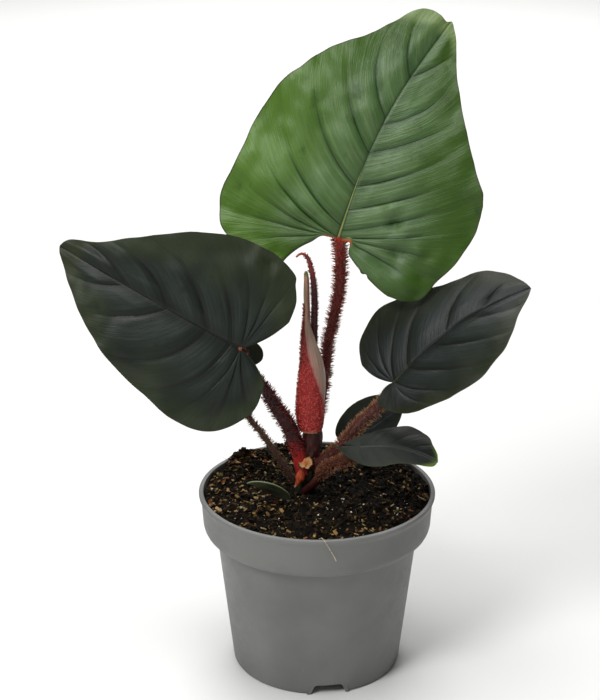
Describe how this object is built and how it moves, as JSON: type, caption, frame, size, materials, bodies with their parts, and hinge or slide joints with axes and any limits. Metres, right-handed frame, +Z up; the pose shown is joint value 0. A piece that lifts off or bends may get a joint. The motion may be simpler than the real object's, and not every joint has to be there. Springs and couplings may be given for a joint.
{
  "type": "potted philodendron serpens",
  "caption": "Heart-leaved aroid house plant with bristly red petioles and a new leaf in its sheath, growing in soil in a round grey nursery pot.",
  "frame": {"origin": "centre of the pot's base, in the plane that the pot stands on", "axes": "+Z up along the pot's axis, +X to the right and +Y to the back as the plant is seen in the picture"},
  "size_m": [0.2262, 0.12, 0.3277],
  "materials": {
    "pot": "satin",
    "soil": "matte",
    "stem": "satin",
    "bud_scale": "satin",
    "sheath": "satin",
    "red_petiole": "satin",
    "hairy_petiole": "matte",
    "bright_leaf": "satin",
    "dark_leaf": "satin",
    "grey_leaf": "satin"
  },
  "bodies": {
    "root": {"pot": "pot", "soil": "soil", "stem": "stem", "bud_scale": "bud_scale", "sheath": "sheath", "young_petiole": "red_petiole", "leaf_tall_blade": "bright_leaf", "leaf_tall_petiole": "red_petiole", "leaf_left_blade": "dark_leaf", "leaf_left_petiole": "red_petiole", "leaf_right_blade": "dark_leaf", "leaf_right_petiole": "hairy_petiole", "leaf_front_blade": "dark_leaf", "leaf_front_petiole": "hairy_petiole", "leaf_round_blade": "dark_leaf", "leaf_round_petiole": "red_petiole", "leaf_back_blade": "dark_leaf", "leaf_back_petiole": "hairy_petiole", "leaf_low_blade": "grey_leaf", "leaf_low_petiole": "red_petiole"}
  },
  "joints": []
}
